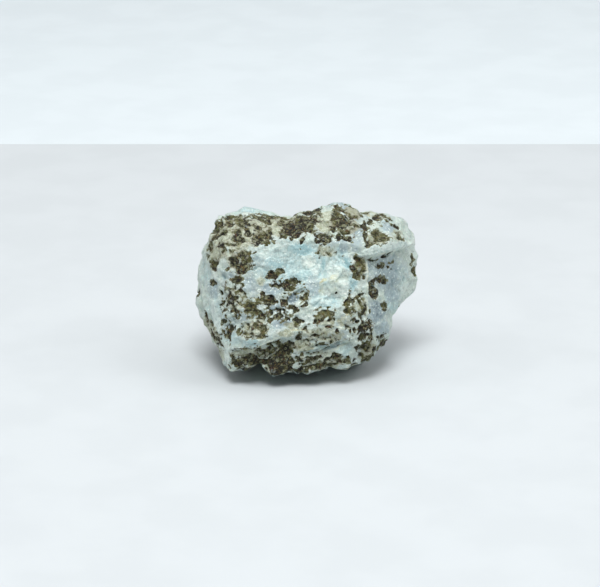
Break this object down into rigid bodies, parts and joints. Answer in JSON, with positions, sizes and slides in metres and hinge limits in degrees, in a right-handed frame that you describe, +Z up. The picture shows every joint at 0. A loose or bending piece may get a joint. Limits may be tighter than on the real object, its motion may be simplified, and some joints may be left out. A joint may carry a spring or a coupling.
{
  "type": "raw larimar",
  "caption": "Rough broken chunk of pale blue larimar speckled with dark basalt, resting on its flat underside.",
  "frame": {"origin": "on the ground under the middle of the stone's bounding box", "axes": "+X to the right across the broad broken face, -Y out of that face towards the viewer, +Z up"},
  "size_m": [0.0449, 0.0347, 0.0327],
  "materials": {
    "larimar": "rough broken, waxy pale blue with dull dark basalt patches"
  },
  "bodies": {
    "root": {"stone": "larimar"}
  },
  "joints": []
}
